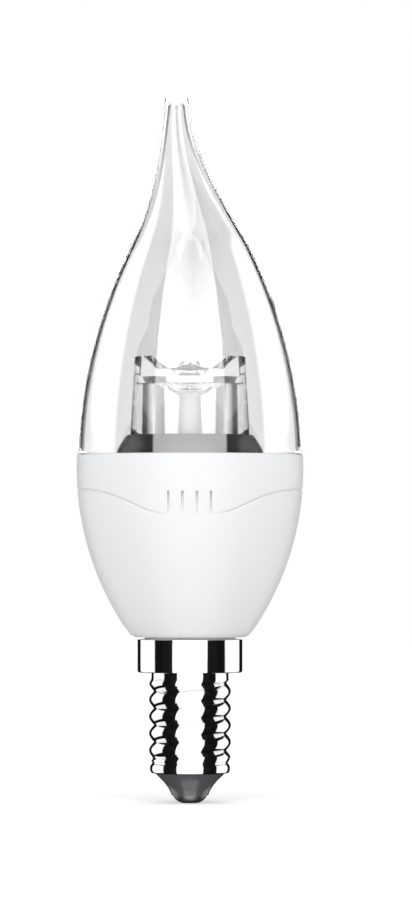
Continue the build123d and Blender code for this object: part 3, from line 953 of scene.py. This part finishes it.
@dataclass
class ScrewCap:
    """Nickel-plated E14 cap: drawn shell with a rolled thread, glass bell and centre contact."""

    wall: float = 0.3
    rim_radius: float = 6.75
    rim_length: float = 1.6
    rim_lip: float = 0.75
    bead_width: float = 0.4
    bead_steps: int = 17
    groove: float = 0.25
    groove_heights: tuple[float, float, float] = (0.02, 0.12, 0.3)
    thread_middle: float = 6.5
    thread_depth: float = 0.8
    thread_pitch: float = 2.822
    thread_start: float = 7.4
    thread_runout: float = 1.5
    skirt_length: float = 5.9
    neck_length: float = 1.2
    shoulder_round: float = 0.35
    shoulder_root: float = 0.15
    crisp: float = 0.1
    soft: float = 0.2
    bell_bend: tuple[float, float] = (0.33, 0.47)
    curve_steps: int = 20
    sharp_angle: float = 40.0
    top_gap: float = 0.35
    contact_flat: float = 0.9
    waist: float = 3.1
    collar_height: float = 1.25
    stem_radius: float = 1.15
    gap: float = 0.05
    row_step: float = 0.1
    columns: int = 180

    def __post_init__(self) -> None:
        """Read the heights from the frame."""
        shell = Extent.of("screw_shell")
        contact = Extent.of("centre_contact")
        self.rim_z = shell.low
        self.top_z = shell.high
        self.skirt_radius = shell.radius
        self.contact_radius = contact.radius
        self.stem_top = contact.high
        self.contact_height = Extent.of("cap_insulator").low
        self.shoulder_z = self.top_z - self.skirt_length

    def thread_tree(self) -> bpy.types.NodeTree:
        """Build the tree that rolls a right-hand thread into a turned shell.

        Returns:
            A geometry node tree with the thread's sizes as inputs.
        """
        labels = ("Pitch", "Depth", "Start", "Low", "High", "Run-out")
        inputs = dict.fromkeys(labels, "NodeSocketFloat")
        tree, given = new_tree("rolled_thread", {**inputs, "Material": "NodeSocketMaterial"})
        place = add_node(tree, "GeometryNodeInputPosition")
        split = add_node(tree, "ShaderNodeSeparateXYZ", {0: place.outputs[0]})
        values = {output.name: output for output in (*given.outputs, *split.outputs)}
        for name, operation, a, b in (
            ("bearing", "ARCTAN2", "Y", "X"),
            ("turn", "DIVIDE", "bearing", 2 * math.pi),
            ("above", "SUBTRACT", "Z", "Start"),
            ("rise", "DIVIDE", "above", "Pitch"),
            ("lag", "SUBTRACT", "rise", "turn"),
            ("phase", "MULTIPLY", "lag", math.pi),
            ("half", "COSINE", "phase", 0.0),
            ("humps", "ABSOLUTE", "half", 0.0),
            ("doubled", "MULTIPLY", "humps", 2.0),
            ("wave", "SUBTRACT", "doubled", 1.0),
            ("past_low", "SUBTRACT", "Z", "Low"),
            ("below_high", "SUBTRACT", "High", "Z"),
        ):
            sockets = {0: values.get(a, a), 1: values.get(b, b)}
            values[name] = add_node(tree, "ShaderNodeMath", sockets, operation=operation).outputs[0]
        for distance in ("past_low", "below_high"):
            sockets = {"Value": values[distance], "From Max": values["Run-out"]}
            fade = add_node(tree, "ShaderNodeMapRange", sockets, interpolation_type="SMOOTHSTEP")
            values[distance] = fade.outputs["Result"]
        for name, operation, a, b in (
            ("fades", "MULTIPLY", "past_low", "below_high"),
            ("faded", "MULTIPLY", "wave", "fades"),
            ("swing", "MULTIPLY", "faded", "Depth"),
            ("reach", "MULTIPLY", "swing", 0.5),
        ):
            sockets = {0: values.get(a, a), 1: values.get(b, b)}
            values[name] = add_node(tree, "ShaderNodeMath", sockets, operation=operation).outputs[0]
        flat = add_node(tree, "ShaderNodeCombineXYZ", {"X": split.outputs["X"], "Y": split.outputs["Y"]})
        outward = add_node(tree, "ShaderNodeVectorMath", {0: flat.outputs[0]}, operation="NORMALIZE")
        offset = add_node(
            tree, "ShaderNodeVectorMath", {0: outward.outputs[0], "Scale": values["reach"]}, operation="SCALE"
        )
        moved = add_node(
            tree,
            "GeometryNodeSetPosition",
            {"Geometry": given.outputs["Geometry"], "Offset": offset.outputs[0]},
        )
        close_tree(tree, moved.outputs[0], given.outputs["Material"])
        return tree

    def shell(self) -> None:
        """Draw the shell, roll its thread and dress it."""
        rim_top = self.rim_z + self.rim_length
        neck_z = self.shoulder_z - self.neck_length / 2
        rows = np.arange(rim_top + self.row_step * 4, neck_z, self.row_step)
        inner = self.thread_middle - self.wall
        top_in = self.shoulder_z + self.wall
        foot, floor, end = self.groove_heights
        bead = [
            Corner(
                self.rim_radius - self.bead_width * (1 - math.cos(turn)),
                self.rim_z + self.rim_length / 2 * (1 + math.sin(turn)),
            )
            for turn in np.linspace(-math.pi / 2, math.pi / 2, self.bead_steps)
        ]
        corners = [
            Corner(self.rim_radius - self.rim_lip, self.rim_z),
            *bead,
            Corner(self.thread_middle - self.groove, rim_top + foot),
            Corner(self.thread_middle - self.groove, rim_top + floor),
            Corner(self.thread_middle, rim_top + end, self.crisp),
            *[Corner(self.thread_middle, z) for z in rows],
            Corner(self.thread_middle, self.shoulder_z, self.shoulder_root),
            Corner(self.skirt_radius, self.shoulder_z, self.shoulder_round),
            Corner(self.skirt_radius, self.top_z - self.top_gap, self.crisp),
            Corner(self.skirt_radius - self.wall, self.top_z - self.top_gap, self.crisp),
            Corner(self.skirt_radius - self.wall, top_in),
            Corner(inner, top_in),
            *[Corner(inner, z) for z in reversed(rows)],
            Corner(self.rim_radius - self.wall, rim_top),
            Corner(self.rim_radius - self.wall, self.rim_z + self.wall),
            Corner(self.rim_radius - self.rim_lip, self.rim_z + self.wall),
        ]
        piece = turned("screw_shell_nickel", rounded(corners), even_angles(self.columns))
        sizes = {
            "Pitch": self.thread_pitch * MM,
            "Depth": self.thread_depth * MM,
            "Start": self.thread_start * MM,
            "Low": rim_top * MM,
            "High": neck_z * MM,
            "Run-out": self.thread_runout * MM,
            "Material": CAP_NICKEL.material(),
        }
        grown(piece, self.thread_tree(), sizes)
        piece.data.shade_smooth()
        piece.data.set_sharp_from_angle(angle=math.radians(self.sharp_angle))
        handed_in(piece, CAP_NICKEL, "cap_nickel", "screw_shell")

    def bell(self) -> None:
        """Press the glass bell and dress it."""
        neck = self.rim_radius - self.rim_lip - self.gap
        collar = self.thread_middle - self.wall - self.gap
        collar_z = self.rim_z + self.wall + self.gap
        bore = self.stem_radius + self.gap
        height = self.rim_z - self.contact_height
        start = Vector((self.waist, self.contact_height))
        out, up = self.bell_bend
        bend = Vector((self.waist + out * (neck - self.waist), self.contact_height + up * height))
        end = Vector((neck, self.rim_z))
        pull = 2 * bend - (start + end) / 2
        hollow = []
        for share in np.linspace(0, 1, self.curve_steps):
            spot = start.lerp(pull, share).lerp(pull.lerp(end, share), share)
            hollow.append(Corner(spot.x, spot.y))
        corners = [
            Corner(bore, self.contact_height),
            *hollow,
            Corner(neck, collar_z),
            Corner(collar, collar_z),
            Corner(collar, collar_z + self.collar_height, self.soft),
            Corner(bore, collar_z + self.collar_height),
        ]
        piece = turned("cap_bell_glass", rounded(corners), even_angles(self.columns))
        handed_in(piece, CAP_GLASS, "cap_glass", "cap_insulator")

    def contact(self) -> None:
        """Stamp the domed contact and dress it."""
        height = self.contact_height
        width = self.contact_radius - self.contact_flat
        curve = (width**2 + height**2) / (2 * height)
        dome = [
            Corner(self.contact_flat + out, curve - math.sqrt(curve**2 - out**2))
            for out in np.linspace(0, width, self.curve_steps)
        ]
        corners = [
            Corner(0.0, 0.0),
            *dome,
            Corner(self.stem_radius, height),
            Corner(self.stem_radius, self.stem_top, self.soft),
            Corner(0.0, self.stem_top),
        ]
        piece = turned("centre_contact_dome", rounded(corners), even_angles(self.columns))
        handed_in(piece, CONTACT_METAL, "contact_metal", "centre_contact")

    def build(self) -> None:
        """Make the three pieces of the cap."""
        self.shell()
        self.bell()
        self.contact()


@dataclass
class LedEngine:
    """Ring of LEDs and the screws on the round board."""

    led_count: int = 6
    led_circle: float = 9.1
    led_width: float = 2.8
    led_length: float = 3.5
    led_height: float = 0.7
    led_edge: float = 0.12
    well_radius: float = 1.2
    well_depth: float = 0.3
    well_sag: float = 0.06
    fill_radii: tuple[float, ...] = (0.9, 0.6, 0.3, 0.0)
    led_columns: int = 48
    fill_columns: int = 32
    facet_angle: float = 20.0
    screw_count: int = 2
    screw_circle: float = 14.5
    screw_radius: float = 1.0
    screw_tip: float = 0.15
    screw_columns: int = 64
    head_radius: float = 1.5
    head_height: float = 0.9
    head_foot: float = 0.1
    head_round: float = 0.45
    cross_arm: float = 0.16
    cross_reach: float = 0.85
    cross_depth: float = 0.4

    def __post_init__(self) -> None:
        """Read the heights from the frame."""
        self.board_z = Extent.of("led_board").high
        self.screw_low = Extent.of("board_screws").low

    def circle_tree(self) -> bpy.types.NodeTree:
        """Build the tree that sets copies of a part on a circle.

        Returns:
            A geometry node tree with the circle's sizes as inputs.
        """
        sizes = {"Count": "NodeSocketInt", "Radius": "NodeSocketFloat", "Turn": "NodeSocketFloat"}
        tree, given = new_tree("parts_on_circle", {**sizes, "Material": "NodeSocketMaterial"})
        number = add_node(tree, "GeometryNodeInputIndex")
        values = {output.name: output for output in (*given.outputs, *number.outputs)}
        for name, operation, a, b in (
            ("step", "DIVIDE", 2 * math.pi, "Count"),
            ("round", "MULTIPLY", "Index", "step"),
            ("angle", "ADD", "round", "Turn"),
            ("cosine", "COSINE", "angle", 0.0),
            ("sine", "SINE", "angle", 0.0),
            ("x", "MULTIPLY", "cosine", "Radius"),
            ("y", "MULTIPLY", "sine", "Radius"),
        ):
            sockets = {0: values.get(a, a), 1: values.get(b, b)}
            values[name] = add_node(tree, "ShaderNodeMath", sockets, operation=operation).outputs[0]
        spot = add_node(tree, "ShaderNodeCombineXYZ", {"X": values["x"], "Y": values["y"]})
        points = add_node(
            tree, "GeometryNodePoints", {"Count": given.outputs["Count"], "Position": spot.outputs[0]}
        )
        heading = add_node(tree, "ShaderNodeCombineXYZ", {"Z": values["angle"]})
        copies = add_node(
            tree,
            "GeometryNodeInstanceOnPoints",
            {
                "Points": points.outputs[0],
                "Instance": given.outputs["Geometry"],
                "Rotation": heading.outputs[0],
            },
        )
        close_tree(tree, copies.outputs[0], given.outputs["Material"])
        return tree

    def led_part(self) -> bpy.types.Object:
        """Make one LED body with a round well, at the board's height on the axis.

        Returns:
            A closed mesh.
        """
        around = self.led_columns
        half = np.array((self.led_width, self.led_length)) / 2
        low = self.board_z
        high = low + self.led_height
        well = high - self.well_depth
        verts: list[tuple[float, float, float]] = []
        rings: list[range] = []

        def ring(kind: str, z: float, trim: float = 0.0) -> None:
            """Add a ring of points, square or round, at a height."""
            start = len(verts)
            for angle in even_angles(around):
                ray = np.array((math.cos(angle), math.sin(angle)))
                if kind == "square":
                    ray = ray * min((half - trim) / np.maximum(np.abs(ray), TINY))
                else:
                    ray = ray * self.well_radius
                verts.append((ray[0] * MM, ray[1] * MM, z * MM))
            rings.append(range(start, len(verts)))

        ring("square", low)
        ring("square", high - self.led_edge)
        ring("square", high, self.led_edge)
        ring("round", high)
        ring("round", well)
        faces: list[tuple[int, ...]] = [tuple(reversed(rings[0])), tuple(rings[-1])]
        for a, b in zip(rings, rings[1:]):
            for j in range(around):
                k = (j + 1) % around
                faces.append((a[j], a[k], b[k], b[j]))
        mesh = bpy.data.meshes.new("led_body")
        mesh.from_pydata(verts, [], faces)
        return placed("led_bodies", mesh, self.facet_angle)

    def phosphor_part(self) -> bpy.types.Object:
        """Make one fill for the LED's well, a little sunk in the middle.

        Returns:
            A closed mesh.
        """
        high = self.board_z + self.led_height
        low = high - self.well_depth
        outline = [(0.0, low), (self.well_radius, low), (self.well_radius, high)]
        for r in self.fill_radii:
            outline.append((r, high - self.well_sag * (1 - (r / self.well_radius) ** 2)))
        return turned("led_fills", outline, even_angles(self.fill_columns))

    def screw_part(self) -> bpy.types.Object:
        """Make one pan-head screw with a cross recess.

        Returns:
            A closed mesh.
        """
        high = self.board_z + self.head_height
        corners = [
            Corner(0.0, self.screw_low),
            Corner(self.screw_radius, self.screw_low, self.screw_tip),
            Corner(self.screw_radius, self.board_z),
            Corner(self.head_radius, self.board_z, self.head_foot),
            Corner(self.head_radius, high, self.head_round),
            *[Corner(r, high) for r in np.linspace(0.9, 0.1, 9)],
            Corner(0.0, high),
        ]
        screw = turned("screws_zinc", rounded(corners), even_angles(self.screw_columns))
        arm = self.cross_arm * MM
        reach = self.cross_reach * MM
        depth = self.cross_depth * MM
        for vert in screw.data.vertices:
            x, y, z = vert.co
            inside = min(abs(x), abs(y)) < arm and max(abs(x), abs(y)) < reach
            if inside and z > high * MM - TINY:
                vert.co.z -= depth * (1 - max(abs(x), abs(y)) / reach * 0.5)
        return screw

    def build(self) -> None:
        """Set the LEDs, their fills and the screws, and dress them."""
        tree = self.circle_tree()
        leds = (self.led_circle, self.led_count, math.pi / self.led_count)
        screws = (self.screw_circle, self.screw_count, 0.0)
        for part, (circle, count, turn), finish, slot, node in (
            (self.led_part(), leds, LED_WHITE, "led_body", "led_packages"),
            (self.phosphor_part(), leds, LED_YELLOW, "led_phosphor", "led_phosphors"),
            (self.screw_part(), screws, SCREW_ZINC, "screw_steel", "board_screws"),
        ):
            sizes = {"Count": count, "Radius": circle * MM, "Turn": turn, "Material": finish.material()}
            grown(part, tree, sizes)
            handed_in(part, finish, slot, node)


class Inside:
    """Pieces that keep their CAD shape and get a finish."""

    FINISHES = {
        "led_board": BOARD_WHITE,
        "heat_sink": SINK_METAL,
        "driver_board": LAMINATE,
        "bulk_capacitor": SLEEVE,
        "output_capacitor": SLEEVE,
        "film_capacitor": FILM_RED,
        "choke_core": FERRITE,
        "choke_winding": COPPER,
        "control_chip": EPOXY,
        "bridge_rectifier": EPOXY,
        "chip_parts": CERAMIC,
        "fuse_resistor": LACQUER,
        "live_lead": TINNED,
        "neutral_lead": TINNED,
        "led_lead_positive": LEAD_RED,
        "led_lead_negative": LEAD_BLACK,
    }

    def build(self) -> None:
        """Dress each piece."""
        for node, finish in self.FINISHES.items():
            finish.dress(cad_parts[node])
            log.info("%s: %s", node, finish.name)


# Studio


@dataclass
class Studio:
    """White sweep all round, a broad light in front, and two dark gaps beside it."""

    frame_width: float = 412.0
    frame_height: float = 900.0
    axis_px: float = 190.0
    foot_px: float = 802.5
    px_per_mm: float = 5.97
    camera_z: float = 40.0
    distance: float = 800.0
    sensor: float = 36.0
    front_gap: tuple[float, float] = (38.0, 83.0)
    gap_edge: float = 137.0
    panel_edge: float = 164.0
    falling_light: tuple[tuple[float, float], ...] = ((112.0, 1.25), (130.0, 0.5), (141.0, 0.02))
    gap_soft: float = 1.0
    front_light: float = 2.0
    side_light: float = 1.25
    back_light: float = 1.0
    gap_light: float = 0.006
    sweep_slope: float = 0.75
    front_fade: tuple[float, float] = (0.5, 0.7)
    mirror_steep: tuple[float, float] = (0.04, 0.1)
    mirror_depth: tuple[float, float] = (0.0, 0.1)
    through_steep: tuple[float, float] = (0.35, 0.45)
    through_depth: tuple[float, float] = (-0.3, -0.1)
    floor_size: float = 3.0
    floor_colour: str = "F2F2F2"
    floor_glow: float = 0.35
    clear_bounces: int = 32
    glossy_bounces: int = 12

    def camera(self) -> None:
        """Set the camera level with the housing, far off, with the lamp framed as in the photograph."""
        data = bpy.data.cameras.new("camera")
        data.sensor_fit = "VERTICAL"
        data.sensor_height = self.sensor
        data.lens = self.sensor * self.distance * self.px_per_mm / self.frame_height
        data.clip_start = 0.01
        aim = Vector(
            (
                (self.frame_width / 2 - self.axis_px) / self.px_per_mm,
                0.0,
                (self.foot_px - self.frame_height / 2) / self.px_per_mm,
            )
        )
        spot = Vector((aim.x, -self.distance, self.camera_z))
        camera = bpy.data.objects.new("camera", data)
        camera.location = spot * MM
        camera.rotation_euler = (aim - spot).to_track_quat("-Z", "Y").to_euler()
        bpy.context.scene.collection.objects.link(camera)
        bpy.context.scene.camera = camera

    def world(self) -> None:
        """Light the lamp from a white sweep with a front light between two dark gaps."""
        world = bpy.data.worlds.new("studio")
        world.use_nodes = True
        bpy.context.scene.world = world
        tree = world.node_tree
        tree.nodes.clear()
        place = add_node(tree, "ShaderNodeTexCoord")
        split = add_node(tree, "ShaderNodeSeparateXYZ", {0: place.outputs["Generated"]})
        path = add_node(tree, "ShaderNodeLightPath")
        values = {output.name: output for output in (*split.outputs, *path.outputs)}
        for name, operation, a, b in (
            ("aside", "ABSOLUTE", "X", 0.0),
            ("upright", "ABSOLUTE", "Z", 0.0),
            ("ahead", "MULTIPLY", "Y", -1.0),
            ("turned_away", "ARCCOSINE", "ahead", 0.0),
            ("half_turns", "DIVIDE", "turned_away", math.pi),
            ("nearness", "SUBTRACT", 1.0, "Y"),
            ("mirrored", "ARCTAN2", "aside", "nearness"),
            ("sloped", "MULTIPLY", "aside", self.sweep_slope),
            ("steep", "SUBTRACT", "upright", "sloped"),
        ):
            sockets = {0: values.get(a, a), 1: values.get(b, b)}
            values[name] = add_node(tree, "ShaderNodeMath", sockets, operation=operation).outputs[0]
        soft = self.gap_soft
        middle = sum(self.front_gap) / 2
        front = [(middle, self.front_light), (middle + soft, self.side_light)]
        back = [(self.panel_edge - soft, self.gap_light), (self.panel_edge + soft, self.back_light)]
        gap_edge = [(self.gap_edge - soft, self.side_light), (self.gap_edge + soft, self.gap_light)]
        bands = []
        for stops in ([*front, *gap_edge, *back], [*front, *self.falling_light, *back]):
            ramp = add_node(tree, "ShaderNodeValToRGB", {"Fac": values["half_turns"]})
            elements = ramp.color_ramp.elements
            while len(elements) < len(stops):
                elements.new(0.5)
            for element, (degrees, light) in zip(elements, stops):
                level = light / self.front_light
                element.position = degrees / 180
                element.color = (level, level, level, 1.0)
            bands.append(ramp.outputs["Color"])
        sky = add_node(
            tree,
            "ShaderNodeMix",
            {"Factor": values["Is Transmission Ray"], "A": bands[0], "B": bands[1]},
            data_type="RGBA",
        )
        low, high = [math.radians(edge) / 2 for edge in self.front_gap]
        blur = math.radians(soft) / 2
        for name, value, (start, end) in (
            ("gap_starts", "mirrored", (low - blur, low + blur)),
            ("gap_ends", "mirrored", (high - blur, high + blur)),
            ("behind", "Y", self.front_fade),
            ("mirror_steep", "steep", self.mirror_steep),
            ("mirror_depth", "Y", self.mirror_depth),
            ("through_steep", "steep", self.through_steep),
            ("through_depth", "Y", self.through_depth),
        ):
            sockets = {"Value": values[value], "From Min": start, "From Max": end}
            step = add_node(tree, "ShaderNodeMapRange", sockets, interpolation_type="SMOOTHSTEP")
            values[name] = step.outputs["Result"]
        for name, operation, a, b in (
            ("opened", "SUBTRACT", 1.0, "gap_ends"),
            ("beside", "MULTIPLY", "gap_starts", "opened"),
            ("before", "SUBTRACT", 1.0, "behind"),
            ("gap", "MULTIPLY", "beside", "before"),
            ("mirror_edge", "MULTIPLY", "mirror_steep", "mirror_depth"),
            ("past", "MULTIPLY", "mirror_edge", "Is Glossy Ray"),
            ("through_edge", "MULTIPLY", "through_steep", "through_depth"),
            ("over", "MULTIPLY", "through_edge", "Is Transmission Ray"),
            ("beyond", "MAXIMUM", "past", "over"),
            ("dark", "MAXIMUM", "gap", "beyond"),
            ("open_sky", "SUBTRACT", 1.0, "dark"),
            ("clear", "MAXIMUM", "open_sky", self.gap_light),
            ("strength", "MULTIPLY", "clear", self.front_light),
        ):
            sockets = {0: values.get(a, a), 1: values.get(b, b)}
            values[name] = add_node(tree, "ShaderNodeMath", sockets, operation=operation).outputs[0]
        lit = add_node(
            tree, "ShaderNodeBackground", {"Color": sky.outputs["Result"], "Strength": values["strength"]}
        )
        white = add_node(tree, "ShaderNodeBackground", {"Color": (1.0, 1.0, 1.0, 1.0)})
        seen = add_node(
            tree,
            "ShaderNodeMixShader",
            {0: path.outputs["Is Camera Ray"], 1: lit.outputs[0], 2: white.outputs[0]},
        )
        add_node(tree, "ShaderNodeOutputWorld", {"Surface": seen.outputs[0]})

    def floor(self) -> None:
        """Lay a pale floor under the lamp that meets the white behind it."""
        half = self.floor_size / 2
        mesh = bpy.data.meshes.new("floor")
        mesh.from_pydata(
            [(-half, -half, 0), (half, -half, 0), (half, half, 0), (-half, half, 0)], [], [(0, 1, 2, 3)]
        )
        floor = bpy.data.objects.new("floor", mesh)
        bpy.context.scene.collection.objects.link(floor)
        # Rolled paper: even matt white that fades into the white behind
        material = bpy.data.materials.new("paper_white")
        material.use_nodes = True
        tree = material.node_tree
        tree.nodes.clear()
        paper = add_node(tree, "ShaderNodeBsdfDiffuse", {"Color": linear(self.floor_colour)})
        glow = add_node(tree, "ShaderNodeEmission", {"Strength": self.floor_glow})
        both = add_node(tree, "ShaderNodeAddShader", {0: paper.outputs[0], 1: glow.outputs[0]})
        path = add_node(tree, "ShaderNodeLightPath")
        straight = add_node(
            tree,
            "ShaderNodeMath",
            {0: path.outputs["Is Camera Ray"], 1: path.outputs["Is Transmission Ray"]},
            operation="MAXIMUM",
        )
        seen = add_node(
            tree, "ShaderNodeMixShader", {0: straight.outputs[0], 1: paper.outputs[0], 2: both.outputs[0]}
        )
        add_node(tree, "ShaderNodeOutputMaterial", {"Surface": seen.outputs[0]})
        mesh.materials.append(material)
        floor.visible_glossy = False

    def build(self) -> None:
        """Set up the camera, the light and the floor."""
        scene = bpy.context.scene
        scene.view_settings.view_transform = "Standard"
        scene.cycles.max_bounces = self.clear_bounces
        scene.cycles.transmission_bounces = self.clear_bounces
        scene.cycles.glossy_bounces = self.glossy_bounces
        self.camera()
        self.world()
        self.floor()


def main() -> None:
    """Build the lamp piece by piece, then the studio."""
    logging.basicConfig(level=logging.INFO, format="%(name)s %(message)s")
    for part in (FlameCover(), LightGuide(), Housing(), ScrewCap(), LedEngine(), Inside(), Studio()):
        part.build()
        log.info("built %s", type(part).__name__)


if __name__ == "__main__":
    main()
